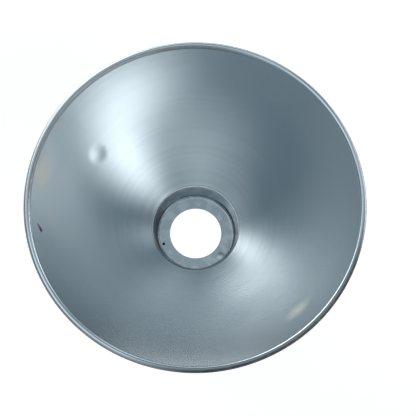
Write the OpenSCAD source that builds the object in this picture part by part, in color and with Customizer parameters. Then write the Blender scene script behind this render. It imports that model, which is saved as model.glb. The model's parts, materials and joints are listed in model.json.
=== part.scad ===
// Spun metal cone: a shade spun from one disc of aluminium sheet. It opens upwards, its rim is
// rolled outwards into a bead, and its foot is a stepped neck with a flat seat and a round hole.
// Millimetres. The axis is Z, and the seat's underside is on z = 0.

/* [Sheet] */
// Thickness of the metal
sheet = 1; // [0.8:0.1:1.4]

/* [Rim] */
// Diameter over the rolled bead
rim_d = 304; // [280:1:330]
// Diameter of the bead
bead_d = 6; // [4.8:0.2:8]
// How far round the edge is rolled, in degrees
bead_turn = 275; // [200:5:285]

/* [Wall] */
// Height over all
height = 125; // [110:1:145]
// Radius of the wall's curve from neck to rim
wall_r = 250; // [160:5:800]

/* [Neck] */
// Inside diameter at the neck's mouth
neck_d = 84; // [80:1:96]
// Inside diameter at the seat
neck_base_d = 77; // [74:1:79]
// Height of the neck's mouth
neck_h = 27.5; // [20:0.5:36]
// Inside radius of the corner round the seat
corner_r = 3; // [2:0.5:4]
// Outside radius of the bend from neck to wall
shoulder_r = 1.2; // [1:0.2:3]

/* [Holes] */
// Diameter of the middle hole
hole_d = 51; // [30:0.5:58]
// Diameter of the small hole in the seat
small_hole_d = 3; // [2:0.2:3.4]
// Distance of the small hole from the axis
small_hole_r = 33.7; // [32:0.1:34]
// Its place round the axis, in degrees
small_hole_angle = 198.4; // [0:0.1:360]

/* [Ding] */
// Radius of the round thing that knocked the ding into the wall from outside
ding_ball = 74; // [30:1:90]
// Depth of the ding
ding_depth = 0.9; // [0.4:0.1:1.2]
// Distance of the ding from the axis
ding_r = 110; // [80:1:125]
// Its place round the axis, in degrees
ding_angle = 147; // [0:1:360]

/* [Hidden] */
$fn = 180;

// The neck's wall leans outwards by this much from its base to its mouth
neck_lean = atan((neck_d - neck_base_d) / 2 / (neck_h - sheet));
function neck_wall(z) = neck_base_d / 2 + (z - sheet) * tan(neck_lean);

// Centres of the bends in the sheet's section, each as [distance from the axis, height]
corner_z = sheet + corner_r;
corner_c = [neck_wall(corner_z) - corner_r / cos(neck_lean), corner_z];
shoulder_z = neck_h - shoulder_r - sheet;
shoulder_c = [neck_wall(shoulder_z) + (shoulder_r + sheet) / cos(neck_lean), shoulder_z];
bead_c = [(rim_d - bead_d) / 2, height - bead_d / 2];

// The wall's curve touches the shoulder's bend and the bead's roll, so its centre lies where the
// two circles about their centres cross
foot_reach = wall_r + sheet + shoulder_r;
rim_reach = wall_r + bead_d / 2;
span = norm(bead_c - shoulder_c);
along = (foot_reach * foot_reach - rim_reach * rim_reach + span * span) / (2 * span);
across = sqrt(foot_reach * foot_reach - along * along);
chord = (bead_c - shoulder_c) / span;
wall_c = shoulder_c + along * chord + across * [-chord.y, chord.x];
foot_a = atan2(shoulder_c.y - wall_c.y, shoulder_c.x - wall_c.x);
rim_a = atan2(bead_c.y - wall_c.y, bead_c.x - wall_c.x);

function arc(c, r, from, to, step) =
    let (n = ceil(abs(to - from) / step))
    [for (i = [0:n]) let (a = from + (to - from) * i / n) c + r * [cos(a), sin(a)]];
function tail(points) = [for (i = [1:len(points) - 1]) points[i]];
function reverse(points) = [for (i = [len(points) - 1:-1:0]) points[i]];

// One side of the sheet's section from the hole to the rolled edge, at o from the middle of the
// sheet, with o above zero on the inside
function side(o) = concat(
    [[hole_d / 2, sheet / 2 + o]],
    arc(corner_c, corner_r + sheet / 2 - o, -90, -neck_lean, 6),
    arc(shoulder_c, shoulder_r + sheet / 2 + o, 180 - neck_lean, foot_a + 180, 6),
    tail(arc(wall_c, wall_r + sheet / 2 - o, foot_a, rim_a, 1)),
    tail(arc(bead_c, bead_d / 2 - sheet / 2 + o, rim_a + 180, rim_a + 180 - bead_turn, 8)));

module spun_sheet() {
    rotate_extrude()
        polygon(concat(side(sheet / 2), reverse(side(-sheet / 2))));
}

// The ding is part of a ball pressed into the wall from outside: its own z axis points out of the
// wall, from the middle of the sheet
ding_a = -acos((ding_r - wall_c.x) / (wall_r + sheet / 2));
ding_reach = sqrt(2 * ding_depth * (ding_ball + sheet));
ding_c = sheet / 2 - ding_depth + ding_ball;

module at_ding() {
    rotate([0, 0, ding_angle])
        translate([ding_r, 0, wall_c.y + (wall_r + sheet / 2) * sin(ding_a)])
            rotate([0, 90 - ding_a, 0])
                children();
}

module ding_inside() {
    at_ding() intersection() {
        translate([0, 0, ding_c]) sphere(r = ding_ball + sheet);
        translate([0, 0, -sheet / 4 - ding_depth - sheet])
            cylinder(r = ding_reach, h = ding_depth + sheet);
    }
}

module ding_outside() {
    at_ding() translate([0, 0, ding_c]) sphere(r = ding_ball);
}

module small_hole() {
    rotate([0, 0, small_hole_angle])
        translate([small_hole_r, 0, -1])
            cylinder(d = small_hole_d, h = sheet + 2, $fn = 48);
}

module shade() {
    color([0.72, 0.76, 0.78])
        difference() {
            union() {
                spun_sheet();
                ding_inside();
            }
            ding_outside();
            small_hole();
        }
}

shade();
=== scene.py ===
# A lamp shade spun from one disc of aluminium sheet, standing on its neck with its mouth up.
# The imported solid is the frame: metres, axis on Z, underside of the seat on z = 0.
import json
import math

import bpy
from mathutils import Matrix, Vector


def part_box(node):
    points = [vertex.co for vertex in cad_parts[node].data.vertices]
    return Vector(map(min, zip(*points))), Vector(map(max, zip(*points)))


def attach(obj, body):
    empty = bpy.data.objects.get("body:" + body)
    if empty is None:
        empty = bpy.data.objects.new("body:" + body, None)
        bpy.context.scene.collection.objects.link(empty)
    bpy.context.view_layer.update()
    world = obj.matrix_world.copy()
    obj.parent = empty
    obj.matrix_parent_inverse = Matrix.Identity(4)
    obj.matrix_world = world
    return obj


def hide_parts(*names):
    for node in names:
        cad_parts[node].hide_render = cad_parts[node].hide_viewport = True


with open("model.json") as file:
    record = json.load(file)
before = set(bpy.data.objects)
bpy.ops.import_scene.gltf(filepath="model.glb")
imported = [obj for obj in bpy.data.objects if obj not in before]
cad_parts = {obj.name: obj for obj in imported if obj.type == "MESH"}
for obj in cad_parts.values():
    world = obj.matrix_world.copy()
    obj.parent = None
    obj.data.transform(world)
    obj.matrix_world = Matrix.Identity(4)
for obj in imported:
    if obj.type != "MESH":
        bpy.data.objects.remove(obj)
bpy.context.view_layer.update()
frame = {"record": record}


# The shade: bare aluminium sheet, spun over a former in one piece. Its edge is rolled outwards
# into a bead, and its foot is a stepped neck with a flat seat, a round hole and a small drilled one.
_, shade_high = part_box("shade")
mounts = {mount["name"]: mount for mount in frame["record"]["mounts"]}
rim_radius = min(shade_high.x, shade_high.y)
shade_height = shade_high.z
hole_radius = mounts["lampholder_hole"]["dims"]["r_mm"] / 1000
sheet = mounts["lampholder_hole"]["dims"]["length_mm"] / 1000
small_hole_radius = mounts["small_hole"]["dims"]["r_mm"] / 1000
small_hole_place = Vector(mounts["small_hole"]["pos_m"])
bead_radius = 0.003
bead_turn = math.radians(275)
wall_radius = 0.250
neck_mouth_radius = 0.042
neck_base_radius = 0.0385
neck_height = 0.0275
corner_radius = 0.003
shoulder_radius = 0.0012

neck_lean = math.atan((neck_mouth_radius - neck_base_radius) / (neck_height - sheet))


def neck_wall(z):
    return neck_base_radius + (z - sheet) * math.tan(neck_lean)


corner_z = sheet + corner_radius
corner_centre = Vector((neck_wall(corner_z) - corner_radius / math.cos(neck_lean), corner_z))
shoulder_z = neck_height - shoulder_radius - sheet
shoulder_out = (shoulder_radius + sheet) / math.cos(neck_lean)
shoulder_centre = Vector((neck_wall(shoulder_z) + shoulder_out, shoulder_z))
bead_centre = Vector((rim_radius - bead_radius, shade_height - bead_radius))

# The wall's curve touches the shoulder's bend and the bead
foot_reach = wall_radius + sheet + shoulder_radius
rim_reach = wall_radius + bead_radius
chord = bead_centre - shoulder_centre
along = (foot_reach ** 2 - rim_reach ** 2 + chord.length ** 2) / (2 * chord.length)
across = math.sqrt(foot_reach ** 2 - along ** 2)
chord_way = chord.normalized()
wall_centre = shoulder_centre + along * chord_way + across * Vector((-chord_way.y, chord_way.x))
foot_angle = math.atan2(shoulder_centre.y - wall_centre.y, shoulder_centre.x - wall_centre.x)
rim_angle = math.atan2(bead_centre.y - wall_centre.y, bead_centre.x - wall_centre.x)


def bend(centre, radius, start, end, steps):
    angles = [start + (end - start) * i / steps for i in range(steps + 1)]
    return [(centre.x + radius * math.cos(a), centre.y + radius * math.sin(a)) for a in angles]


def sheet_side(offset, corner_steps, wall_steps, bead_steps):
    """One face of the sheet from the hole to the rolled edge, at an offset from its middle."""
    z = sheet / 2 + offset
    corner = bend(corner_centre, corner_radius + sheet / 2 - offset, -math.pi / 2, -neck_lean, corner_steps)
    shoulder = bend(shoulder_centre, shoulder_radius + sheet / 2 + offset,
                    math.pi - neck_lean, foot_angle + math.pi, corner_steps)
    wall = bend(wall_centre, wall_radius + sheet / 2 - offset, foot_angle, rim_angle, wall_steps)
    bead = bend(bead_centre, bead_radius - sheet / 2 + offset,
                rim_angle + math.pi, rim_angle + math.pi - bead_turn, bead_steps)
    seat_shares = (0, 0.02, 0.15, 0.3, 0.45, 0.6, 0.75, 0.9, 0.98)
    seat = [(hole_radius + share * (corner[0][0] - hole_radius), z) for share in seat_shares]
    neck_foot, neck_top = Vector(corner[-1]), Vector(shoulder[0])
    neck = [tuple(neck_foot.lerp(neck_top, share)) for share in (0.02, 0.33, 0.66, 0.98)]
    return seat + corner + neck + shoulder + wall[1:] + bead[1:]


outside_face = sheet_side(-sheet / 2, corner_steps=8, wall_steps=40, bead_steps=24)
inside_face = sheet_side(sheet / 2, corner_steps=10, wall_steps=76, bead_steps=44)
section = outside_face + inside_face[::-1]
shade_mesh = bpy.data.meshes.new("shade_section")
shade_mesh.from_pydata([(r, 0, z) for r, z in section],
                       [(i, i + 1) for i in range(len(section) - 1)], [])
shade = bpy.data.objects.new("spun_shade", shade_mesh)
bpy.context.scene.collection.objects.link(shade)


def add_node(tree, kind, inputs=None, **settings):
    """A node with its settings made, its inputs linked to sockets or set to plain values."""
    made = tree.nodes.new(kind)
    for name, value in settings.items():
        setattr(made, name, value)
    for key, value in (inputs or {}).items():
        if isinstance(value, bpy.types.NodeSocket):
            tree.links.new(value, made.inputs[key])
        else:
            made.inputs[key].default_value = value
    return made


def number(tree, operation, first, second=None, third=None, clamp=False):
    values = {i: v for i, v in enumerate((first, second, third)) if v is not None}
    return add_node(tree, "ShaderNodeMath", values, operation=operation, use_clamp=clamp).outputs[0]


def vector(tree, operation, first, second=None):
    values = {i: v for i, v in enumerate((first, second)) if v is not None}
    made = add_node(tree, "ShaderNodeVectorMath", values, operation=operation)
    return made.outputs["Value" if operation in ("DOT_PRODUCT", "LENGTH") else "Vector"]


def stretched(tree, way, amount):
    return add_node(tree, "ShaderNodeVectorMath", {0: way, "Scale": amount}, operation="SCALE").outputs[0]


# The spinning itself: a grid of the section's points by steps round the axis, closed at its seams,
# knocked where it was hit, and drilled at the small hole
seam_gap = 1e-6
knock_zone = 0.006
drill_length = 0.006
drill_sides = 48
sharp_turn = math.radians(35)
spinning = bpy.data.node_groups.new("spinning", "GeometryNodeTree")
knocks = ("Ding", "Faint Ding", "Seat Crease")
sockets = [("Section", "Geometry"), ("Steps Round", "Int"), ("Small Hole Place", "Vector"),
           ("Small Hole Radius", "Float"), ("Metal", "Material")]
for knock in knocks:
    sockets += [(knock + " Place", "Vector"), (knock + " Facing", "Vector"),
                (knock + " Reach", "Float"), (knock + " Depth", "Float")]
spinning_inputs = {}
for name, kind in sockets:
    made = spinning.interface.new_socket(name, in_out="INPUT", socket_type="NodeSocket" + kind)
    spinning_inputs[name] = made.identifier
spinning.interface.new_socket("Shade", in_out="OUTPUT", socket_type="NodeSocketGeometry")
given = add_node(spinning, "NodeGroupInput").outputs

section_size = add_node(spinning, "GeometryNodeAttributeDomainSize", {"Geometry": given["Section"]})
rows = section_size.outputs["Point Count"]
steps_more = number(spinning, "ADD", given["Steps Round"], 1.0)
rows_more = number(spinning, "ADD", rows, 1.0)
grid = add_node(spinning, "GeometryNodeMeshGrid",
                {"Size X": 1.0, "Size Y": 1.0, "Vertices X": steps_more, "Vertices Y": rows_more})
place = add_node(spinning, "GeometryNodeInputPosition").outputs[0]
grid_x, grid_y, _ = add_node(spinning, "ShaderNodeSeparateXYZ", {0: place}).outputs
turn = number(spinning, "MULTIPLY_ADD", grid_x, 2 * math.pi, math.pi)
half_rows = number(spinning, "MULTIPLY", rows, 0.5)
row_whole = number(spinning, "ROUND", number(spinning, "MULTIPLY_ADD", grid_y, rows, half_rows))
row = number(spinning, "FLOORED_MODULO", row_whole, rows)
section_point = add_node(spinning, "GeometryNodeSampleIndex",
                         {"Geometry": given["Section"], "Index": row},
                         data_type="FLOAT_VECTOR", domain="POINT")
spinning.links.new(place, section_point.inputs["Value"])
turned = add_node(spinning, "ShaderNodeVectorRotate",
                  {"Vector": section_point.outputs[0], "Angle": turn}, rotation_type="Z_AXIS").outputs[0]
spun = add_node(spinning, "GeometryNodeSetPosition",
                {"Geometry": grid.outputs["Mesh"], "Position": turned}).outputs[0]
around, up_section, _ = add_node(spinning, "ShaderNodeSeparateXYZ", {0: grid.outputs["UV Map"]}).outputs
sheet_uv = add_node(spinning, "ShaderNodeCombineXYZ", {0: up_section, 1: around}).outputs[0]
mapped = add_node(spinning, "GeometryNodeStoreNamedAttribute",
                  {"Geometry": spun, "Name": "sheet_uv", "Value": sheet_uv},
                  data_type="FLOAT2", domain="CORNER").outputs[0]
sheet_now = add_node(spinning, "GeometryNodeMergeByDistance",
                     {"Geometry": mapped, "Distance": seam_gap}).outputs[0]

for knock in knocks:
    away = vector(spinning, "SUBTRACT", place, given[knock + " Place"])
    rise = vector(spinning, "DOT_PRODUCT", away, given[knock + " Facing"])
    flat = vector(spinning, "SUBTRACT", away, stretched(spinning, given[knock + " Facing"], rise))
    share = number(spinning, "DIVIDE", vector(spinning, "LENGTH", flat), given[knock + " Reach"])
    dome = number(spinning, "SUBTRACT", 1.0, number(spinning, "MULTIPLY", share, share), clamp=True)
    push = number(spinning, "MULTIPLY", number(spinning, "MULTIPLY", dome, dome), given[knock + " Depth"])
    near = number(spinning, "LESS_THAN", number(spinning, "ABSOLUTE", rise), knock_zone)
    sheet_now = add_node(spinning, "GeometryNodeSetPosition",
                         {"Geometry": sheet_now, "Selection": near,
                          "Offset": stretched(spinning, given[knock + " Facing"], push)}).outputs[0]

drill = add_node(spinning, "GeometryNodeMeshCylinder",
                 {"Vertices": drill_sides, "Radius": given["Small Hole Radius"],
                  "Depth": drill_length}).outputs["Mesh"]
drill_there = add_node(spinning, "GeometryNodeTransform",
                       {"Geometry": drill, "Translation": given["Small Hole Place"]}).outputs[0]
drilled = add_node(spinning, "GeometryNodeMeshBoolean", {"Mesh 1": sheet_now, "Mesh 2": drill_there},
                   operation="DIFFERENCE", solver="EXACT").outputs[0]

smooth = add_node(spinning, "GeometryNodeSetShadeSmooth",
                  {"Geometry": drilled, "Shade Smooth": True}, domain="FACE").outputs[0]
edge_angle = add_node(spinning, "GeometryNodeInputMeshEdgeAngle").outputs["Unsigned Angle"]
sharp_edge = number(spinning, "GREATER_THAN", edge_angle, sharp_turn)
creased = add_node(spinning, "GeometryNodeSetShadeSmooth",
                   {"Geometry": smooth, "Selection": sharp_edge, "Shade Smooth": False},
                   domain="EDGE").outputs[0]
whole = add_node(spinning, "GeometryNodeRealizeInstances", {"Geometry": creased}).outputs[0]
finished = add_node(spinning, "GeometryNodeSetMaterial",
                    {"Geometry": whole, "Material": given["Metal"]}).outputs[0]
add_node(spinning, "NodeGroupOutput", {0: finished})


def on_wall(radius, azimuth):
    """A point in the middle of the wall's sheet, and the way the inside of the wall faces there."""
    slope = -math.acos((radius - wall_centre.x) / (wall_radius + sheet / 2))
    around_axis = Matrix.Rotation(math.radians(azimuth), 3, "Z")
    z = wall_centre.y + (wall_radius + sheet / 2) * math.sin(slope)
    return around_axis @ Vector((radius, 0, z)), around_axis @ Vector((-math.cos(slope), 0, -math.sin(slope)))


# Spun aluminium: cold grey, with the broad faint rings that the spinning tool left, cloudy handling marks,
# painted shade and painted dark reflections on the bead and in the neck, a painted highlight on the bead's
# crest, pale warm tints, a painted glint and a small smear of colour inside the wall
wall_dark = (0.60, 0.642, 0.667)
wall_light = (0.66, 0.70, 0.722)
ring_colour = (0.45, 0.49, 0.52)
ring_depth = 0.000035
ring_scale = 150.0
ring_drift = 0.0008
cloud_scale = 22.0
rough_low = 0.240
rough_high = 0.272
neck_painted_shade = (0.37, 0.42, 0.45)
wipe_colour = (0.74, 0.78, 0.80)
wipe_scale = 95.0
crest_highlight_colour = (0.88, 0.90, 0.915)
painted_dark_colour = (0.025, 0.027, 0.032)
dark_patch_scale = 160.0
beige = (0.78, 0.74, 0.64)
cream_glint = (1.0, 0.95, 0.83)
smear_brown = (0.16, 0.08, 0.12)
smear_blue = (0.03, 0.03, 0.09)
smear_red = (0.22, 0.03, 0.06)
polish_depth = 0.11
painted_dark_roughness = 0.2
brush_stretch = 0.556
metal = bpy.data.materials.new("ringed_aluminium")
metal.use_nodes = True
metal_tree = metal.node_tree
metal_tree.nodes.clear()
spot = add_node(metal_tree, "ShaderNodeTexCoord").outputs["Object"]
spot_z = add_node(metal_tree, "ShaderNodeSeparateXYZ", {0: spot}).outputs[2]
plan = vector(metal_tree, "MULTIPLY", spot, (1, 1, 0))
ring_radius = vector(metal_tree, "LENGTH", plan)
plan_way = vector(metal_tree, "NORMALIZE", plan)


def noise(where, scale, detail=2.0):
    made = add_node(metal_tree, "ShaderNodeTexNoise", {"Vector": where, "Scale": scale, "Detail": detail})
    return made.outputs[0]


def ramp(value, low, high, to_low, to_high, kind="SMOOTHSTEP"):
    return add_node(metal_tree, "ShaderNodeMapRange", {0: value, 1: low, 2: high, 3: to_low, 4: to_high},
                    interpolation_type=kind).outputs[0]


def times(first, *others):
    for other in others:
        first = number(metal_tree, "MULTIPLY", first, other)
    return first


def blend(share, first, second):
    made = add_node(metal_tree, "ShaderNodeMix", {"Factor": share}, data_type="RGBA")
    for socket, shade_of in ((made.inputs[6], first), (made.inputs[7], second)):
        if isinstance(shade_of, bpy.types.NodeSocket):
            metal_tree.links.new(shade_of, socket)
        else:
            socket.default_value = (*shade_of, 1)
    return made.outputs[2]


# Rings: noise that changes quickly along the section and slowly round the axis
along_sheet = number(metal_tree, "ADD", ring_radius, spot_z)
round_axis = stretched(metal_tree, plan_way, ring_drift)
round_x, round_y, _ = add_node(metal_tree, "ShaderNodeSeparateXYZ", {0: round_axis}).outputs
ring_place = add_node(metal_tree, "ShaderNodeCombineXYZ", {0: along_sheet, 1: round_x, 2: round_y}).outputs[0]
broad_rings = noise(ring_place, ring_scale, 1.0)
clouds = noise(spot, cloud_scale, 3.0)
near_neck = ramp(ring_radius, 0.055, 0.100, 1.0, 0.35)
ring_height = times(broad_rings, near_neck)
rings = add_node(metal_tree, "ShaderNodeBump",
                 {"Strength": 1.0, "Distance": ring_depth, "Height": ring_height}).outputs[0]
rough = ramp(clouds, 0.35, 0.7, rough_low, rough_high, "LINEAR")
colour = blend(clouds, wall_dark, wall_light)
ring_tone = times(ramp(broad_rings, 0.35, 0.65, 0.0, 0.26, "LINEAR"), near_neck)
colour = blend(ring_tone, colour, ring_colour)

# The neck is smoother than the wall and painted a little darker, as shade in its recess, with light wiped
# streaks
neck_out = number(metal_tree, "MULTIPLY_ADD", spot_z, -math.tan(neck_lean), ring_radius)
neck_face = neck_base_radius - sheet * math.tan(neck_lean)
in_neck = times(ramp(neck_out, neck_face + 0.3 * sheet, neck_face + 0.8 * sheet, 1.0, 0.0),
                ramp(spot_z, 0.3 * sheet, 0.7 * sheet, 0.0, 1.0),
                ramp(spot_z, neck_height - 3 * sheet, neck_height - sheet, 1.0, 0.0))
colour = blend(times(in_neck, 0.7), colour, neck_painted_shade)
wipes = times(in_neck, ramp(noise(spot, wipe_scale), 0.45, 0.65, 0.0, 0.35))
colour = blend(wipes, colour, wipe_colour)


def wall_patch(radius, azimuth, half_round, half_up):
    """How far a spot is from the middle of an oval patch, one at its edge, and if it is inside the wall."""
    middle, facing = on_wall(radius, azimuth)
    tangent = Vector((-math.sin(math.radians(azimuth)), math.cos(math.radians(azimuth)), 0))
    from_middle = vector(metal_tree, "SUBTRACT", spot, middle)
    sideways = vector(metal_tree, "DOT_PRODUCT", from_middle, tangent / half_round)
    upwards = vector(metal_tree, "DOT_PRODUCT", from_middle, facing.cross(tangent) / half_up)
    squares = number(metal_tree, "MULTIPLY_ADD", upwards, upwards, times(sideways, sideways))
    inside = vector(metal_tree, "DOT_PRODUCT", from_middle, facing)
    return number(metal_tree, "SQRT", squares), ramp(inside, 0.0, 0.0002, 0.0, 1.0)


# Warm patches near the rim, each soft: two beige tints, and a painted glint in cream at the front right.
# Each: its radius and azimuth, half its size round the wall and up it, its strength and its colour
tints_and_glint = ((0.1406, 167.5, 0.026, 0.017, 0.85, beige),
          (0.1316, 183.9, 0.014, 0.010, 0.30, beige),
          (0.1312, -46.9, 0.021, 0.0105, 1.0, cream_glint))
for radius, azimuth, half_round, half_up, strength, tint_colour in tints_and_glint:
    tint_edge, tint_inside = wall_patch(radius, azimuth, half_round, half_up)
    tint = times(ramp(tint_edge, 0.0, 1.0, 1.0, 0.0), tint_inside, strength)
    colour = blend(tint, colour, tint_colour)


def arc_share(azimuth, half_width, soft):
    """One within a half width of an azimuth, falling to nothing over a soft end; angles in degrees."""
    facing = (math.cos(math.radians(azimuth)), math.sin(math.radians(azimuth)), 0)
    nearness = vector(metal_tree, "DOT_PRODUCT", plan_way, facing)
    outer_end = math.cos(math.radians(half_width + soft))
    inner_end = math.cos(math.radians(half_width))
    return ramp(nearness, outer_end, inner_end, 0.0, 1.0)


# The bead: its crest is rubbed smoother and painted lighter as a highlight, less so at the front right. It is
# painted dark on its outer half at the front right as a painted reflection, in its root at the back left as
# painted shade, and in a thin line all round its edge as painted shadow.
bead_out = times(number(metal_tree, "SUBTRACT", ring_radius, bead_centre.x), 1 / bead_radius)
bead_up = times(number(metal_tree, "SUBTRACT", spot_z, bead_centre.y), 1 / bead_radius)
bead_squares = number(metal_tree, "MULTIPLY_ADD", bead_up, bead_up, times(bead_out, bead_out))
bead_away = number(metal_tree, "SQRT", bead_squares)
on_bead = ramp(bead_away, 1.05, 1.25, 1.0, 0.0)
bead_patches = noise(spot, dark_patch_scale, 3.0)
crest = times(on_bead, ramp(bead_up, 0.2, 0.6, 0.0, 1.0))
crest_highlight_share = ramp(arc_share(azimuth=-62, half_width=30, soft=30), 0.0, 1.0, 0.8, 0.0)
colour = blend(times(crest, crest_highlight_share), colour, crest_highlight_colour)
polish = number(metal_tree, "MAXIMUM", crest, in_neck)
rough = number(metal_tree, "MULTIPLY_ADD", polish, -polish_depth, rough)
painted_dark_reflection_outer = times(ramp(bead_out, -0.55, 0.6, 0.0, 1.0), arc_share(azimuth=-57, half_width=28, soft=34))
painted_shade_root = times(ramp(bead_out, -0.6, 0.05, 1.0, 0.0),
                  arc_share(azimuth=130, half_width=42, soft=26), 0.7)
painted_shade_edge = times(ramp(bead_out, 0.35, 0.85, 0.0, 1.0), 0.75)
painted_dark_bead = number(metal_tree, "MAXIMUM", painted_shade_edge, number(metal_tree, "MAXIMUM", painted_dark_reflection_outer, painted_shade_root))
painted_dark_patchy = times(painted_dark_bead, on_bead, ramp(bead_patches, 0.3, 0.6, 0.9, 1.0))

# A painted dark reflection on the left side of the neck, and a darker thin line along the near side of its
# mouth
painted_dark_reflection_neck = times(ramp(ring_radius, neck_base_radius - sheet, neck_base_radius, 0.0, 1.0), in_neck,
                  arc_share(azimuth=180, half_width=24, soft=20), 0.8)
lip_inner = neck_mouth_radius - 0.0002
lip_outer = neck_mouth_radius + 0.0006
lip_below = neck_height - 0.0013
dark_lip_line = times(ramp(ring_radius, lip_inner - 0.0006, lip_inner, 0.0, 1.0),
                 ramp(ring_radius, lip_outer, lip_outer + 0.0008, 1.0, 0.0),
                 ramp(spot_z, lip_below - 0.0007, lip_below, 0.0, 1.0),
                 arc_share(azimuth=-90, half_width=60, soft=25), 0.75)
# The painted shade, the painted dark reflections and the dark lip line darken the colour, and make the sheet
# rougher and less metal there
painted_dark_inside = number(metal_tree, "MAXIMUM", painted_dark_reflection_neck, dark_lip_line)
painted_dark = number(metal_tree, "MAXIMUM", painted_dark_patchy, painted_dark_inside)
colour = blend(painted_dark, colour, painted_dark_colour)
rough = number(metal_tree, "MULTIPLY_ADD", painted_dark, painted_dark_roughness, rough)

# A smear of colour: a thin brown start that widens to a blue and red end, in a line down the wall
smear_start, smear_facing = on_wall(radius=0.1419, azimuth=187.1)
smear_end, _ = on_wall(radius=0.1392, azimuth=190.0)
smear_way = (smear_end - smear_start).normalized()
smear_length = (smear_end - smear_start).length
smear_from = vector(metal_tree, "SUBTRACT", spot, smear_start)
smear_along = vector(metal_tree, "DOT_PRODUCT", smear_from, smear_way / smear_length)
smear_side = vector(metal_tree, "DOT_PRODUCT", smear_from, smear_facing.cross(smear_way))
smear_inside = ramp(vector(metal_tree, "DOT_PRODUCT", smear_from, smear_facing), 0.0, 0.0002, 0.0, 1.0)
smear_width = ramp(smear_along, 0.0, 0.9, 0.0006, 0.0019, "LINEAR")
smear_edge = number(metal_tree, "DIVIDE", number(metal_tree, "ABSOLUTE", smear_side), smear_width)
smear = times(ramp(smear_edge, 0.7, 1.15, 1.0, 0.0), ramp(smear_along, -0.02, 0.15, 0.0, 1.0),
            ramp(smear_along, 0.96, 1.1, 1.0, 0.0), smear_inside)
smear_tip = blend(ramp(smear_side, -0.0005, 0.0005, 0.0, 1.0), smear_blue, smear_red)
smear_colour = blend(ramp(smear_along, 0.45, 0.8, 0.0, 1.0), smear_brown, smear_tip)
colour = blend(smear, colour, smear_colour)
bareness = ramp(number(metal_tree, "MAXIMUM", smear, times(painted_dark, 0.8)), 0.0, 1.0, 1.0, 0.1, "LINEAR")

sheet_way = add_node(metal_tree, "ShaderNodeTangent", direction_type="UV_MAP", uv_map="sheet_uv").outputs[0]
metal_shader = add_node(metal_tree, "ShaderNodeBsdfPrincipled",
                        {"Base Color": colour, "Metallic": bareness, "Roughness": rough, "Normal": rings,
                         "Anisotropic": brush_stretch, "Tangent": sheet_way}).outputs[0]
add_node(metal_tree, "ShaderNodeOutputMaterial", {"Surface": metal_shader})

# The ding and a fainter one were knocked in from outside, so they stand up on the inside of the wall,
# and the seat was pushed up beside its corner
ding_place, ding_facing = on_wall(radius=0.110, azimuth=147)
ding_reach, ding_depth = 0.0112, 0.0006
faint_place, faint_facing = on_wall(radius=0.093, azimuth=132.7)
faint_reach, faint_depth = 0.006, 0.00012
crease_place, crease_facing = Vector((0.0250, -0.0231, sheet / 2)), Vector((0.0, 0.0, 1.0))
crease_reach, crease_depth = 0.0042, 0.0005
steps_round = 384
spin_step = shade.modifiers.new("spinning", "NODES")
spin_step.node_group = spinning
for name, value in (("Steps Round", steps_round), ("Small Hole Place", small_hole_place),
                    ("Small Hole Radius", small_hole_radius), ("Metal", metal),
                    ("Ding Place", ding_place), ("Ding Facing", ding_facing),
                    ("Ding Reach", ding_reach), ("Ding Depth", ding_depth),
                    ("Faint Ding Place", faint_place), ("Faint Ding Facing", faint_facing),
                    ("Faint Ding Reach", faint_reach), ("Faint Ding Depth", faint_depth),
                    ("Seat Crease Place", crease_place), ("Seat Crease Facing", crease_facing),
                    ("Seat Crease Reach", crease_reach), ("Seat Crease Depth", crease_depth)):
    spin_step[spinning_inputs[name]] = value
shade_spun = bpy.data.meshes.new_from_object(shade.evaluated_get(bpy.context.evaluated_depsgraph_get()))
shade.modifiers.clear()
# The spun grid brings an empty material slot, before the metal's
shade_spun.materials.pop(index=0)
shade.data = shade_spun
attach(shade, "root")
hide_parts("shade")


# The floor: a plain white table top that keeps the shade's soft shadow. It glows a little to the camera
# and in the metal, so that it looks white. Seen through the main hole it glows more, as painted light where
# the neck shades it. Under the seat, where light comes in only by the small hole, it is painted dark as
# shadow.
floor_half = 400.0
floor_shine = 0.54
hole_painted_light = 0.31
hole_margin = 0.001
floor_painted_shadow = (0.06, 0.06, 0.065, 1)
floor_pale = (0.96, 0.90, 0.87, 1)
floor_mesh = bpy.data.meshes.new("floor")
floor_mesh.from_pydata([(-floor_half, -floor_half, 0), (floor_half, -floor_half, 0),
                        (floor_half, floor_half, 0), (-floor_half, floor_half, 0)], [], [(0, 1, 2, 3)])
floor = bpy.data.objects.new("floor", floor_mesh)
bpy.context.scene.collection.objects.link(floor)
floor_paint = bpy.data.materials.new("floor_paint")
floor_paint.use_nodes = True
floor_tree = floor_paint.node_tree
floor_tree.nodes.clear()
floor_ray = add_node(floor_tree, "ShaderNodeLightPath").outputs
floor_seen = number(floor_tree, "MAXIMUM", floor_ray["Is Camera Ray"], floor_ray["Is Glossy Ray"])
floor_through = number(floor_tree, "MAXIMUM", floor_seen, floor_ray["Is Transmission Ray"])
floor_spot = add_node(floor_tree, "ShaderNodeTexCoord").outputs["Object"]
floor_radius = vector(floor_tree, "LENGTH", floor_spot)
floor_outside = number(floor_tree, "GREATER_THAN", floor_radius, neck_base_radius)
floor_in_hole = number(floor_tree, "LESS_THAN", floor_radius, hole_radius + hole_margin)
floor_open = number(floor_tree, "MAXIMUM", floor_outside, floor_in_hole)
floor_level = number(floor_tree, "MULTIPLY_ADD", floor_in_hole, hole_painted_light, floor_shine)
floor_lit = number(floor_tree, "MULTIPLY", floor_through, floor_open)
floor_glow = number(floor_tree, "MULTIPLY", floor_lit, floor_level)
floor_tone = add_node(floor_tree, "ShaderNodeMix", {"Factor": floor_open}, data_type="RGBA")
floor_tone.inputs[6].default_value = floor_painted_shadow
floor_tone.inputs[7].default_value = floor_pale
floor_matt = add_node(floor_tree, "ShaderNodeBsdfDiffuse", {"Color": floor_tone.outputs[2]}).outputs[0]
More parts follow.
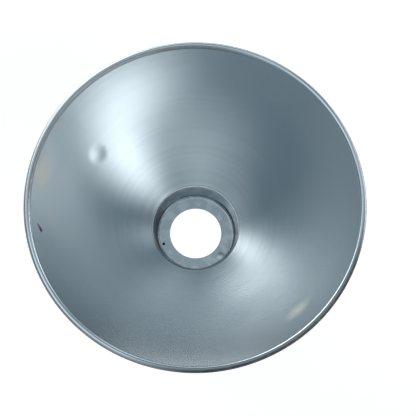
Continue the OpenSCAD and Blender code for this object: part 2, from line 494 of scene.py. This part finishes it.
floor_white = add_node(floor_tree, "ShaderNodeEmission",
                       {"Color": (1, 1, 1, 1), "Strength": floor_glow}).outputs[0]
floor_sum = add_node(floor_tree, "ShaderNodeAddShader", {0: floor_matt, 1: floor_white}).outputs[0]
add_node(floor_tree, "ShaderNodeOutputMaterial", {"Surface": floor_sum})
floor_mesh.materials.append(floor_paint)


# The light: a dim cool room with large soft glows round it, such as lamps behind cloth give, which
# the metal mirrors. Each glow fades from its middle to its edges.
room = bpy.data.worlds.new("room")
bpy.context.scene.world = room
room.use_nodes = True
room_tree = room.node_tree
room_tree.nodes.clear()
room_way = add_node(room_tree, "ShaderNodeTexCoord").outputs["Generated"]


def soft_glow(light, azimuth, elevation, tilt, width, height, colour):
    """The light with one oval glow added; at the sines width and height it has fallen to about a third."""
    a, e, t = math.radians(azimuth), math.radians(elevation), math.radians(tilt)
    way = Vector((math.cos(a) * math.cos(e), math.sin(a) * math.cos(e), math.sin(e)))
    sideways = Vector((-math.sin(a), math.cos(a), 0))
    upright = way.cross(sideways)
    glow_x = (math.cos(t) * sideways + math.sin(t) * upright) / width
    glow_y = (math.cos(t) * upright - math.sin(t) * sideways) / height
    out_x = vector(room_tree, "DOT_PRODUCT", room_way, glow_x)
    out_y = vector(room_tree, "DOT_PRODUCT", room_way, glow_y)
    square = number(room_tree, "MULTIPLY_ADD", out_x, out_x, number(room_tree, "MULTIPLY", out_y, out_y))
    fade = number(room_tree, "EXPONENT", number(room_tree, "MULTIPLY", square, -1.0))
    in_front = number(room_tree, "GREATER_THAN", vector(room_tree, "DOT_PRODUCT", room_way, way), 0.0)
    share = number(room_tree, "MULTIPLY", fade, in_front)
    return vector(room_tree, "ADD", light, stretched(room_tree, colour, share))


# Each light: azimuth, elevation and tilt in degrees, width and height, brightness
daylight = Vector((0.95, 1.0, 1.02))
lights = {
    "front right, low and wide": (-50, 5, 0, 0.45, 0.25, 2.7),
    "front right, raised": (-30, 30, 0, 0.30, 0.25, 1.9),
    "front, raised and broad": (-95, 40, 0, 0.60, 0.35, 0.5),
    "right, at table height": (5, 0, 15, 0.35, 0.15, 7.0),
    "right, raised": (30, 40, 0, 0.20, 0.20, 0.6),
    "back right, low": (40, 5, 0, 0.20, 0.15, 2.0),
    "back right, raised": (75, 20, 0, 0.25, 0.15, 1.5),
    "back, low and strong": (115, 18, 0, 0.28, 0.13, 6.0),
    "back left, leaning": (138, 30, 45, 0.30, 0.13, 2.6),
    "left, high": (180, 60, 0, 0.30, 0.25, 0.7),
    "overhead": (0, 90, 0, 0.45, 0.45, 0.6),
}
room_light = (0.03, 0.09, 0.13)
for azimuth, elevation, tilt, width, height, brightness in lights.values():
    room_light = soft_glow(room_light, azimuth, elevation, tilt, width, height, brightness * daylight)
room_shine = add_node(room_tree, "ShaderNodeBackground", {"Color": room_light, "Strength": 1.0}).outputs[0]
add_node(room_tree, "ShaderNodeOutputWorld", {"Surface": room_shine})


# The camera: above the near edge, looking down into the mouth through a long lens,
# and rolled a little to one side.
camera_distance = 0.9
camera_tilt = math.radians(15.74)
camera_roll = math.radians(2.10)
camera_lens = 87.89
view_height = 0.1222
rim_centre = Vector((0, 0, view_height))
aim = Vector((0.01109, -0.00703, view_height))
camera_data = bpy.data.cameras.new("camera")
camera_data.sensor_width = 36.0
camera_data.lens = camera_lens
camera = bpy.data.objects.new("camera", camera_data)
camera.location = rim_centre + camera_distance * Vector((0, -math.sin(camera_tilt), math.cos(camera_tilt)))
look = (aim - camera.location).to_track_quat("-Z", "Y").to_matrix().to_4x4()
camera.rotation_euler = (look @ Matrix.Rotation(camera_roll, 4, "Z")).to_euler()
bpy.context.scene.collection.objects.link(camera)
bpy.context.scene.camera = camera
bpy.context.scene.view_settings.view_transform = "Standard"
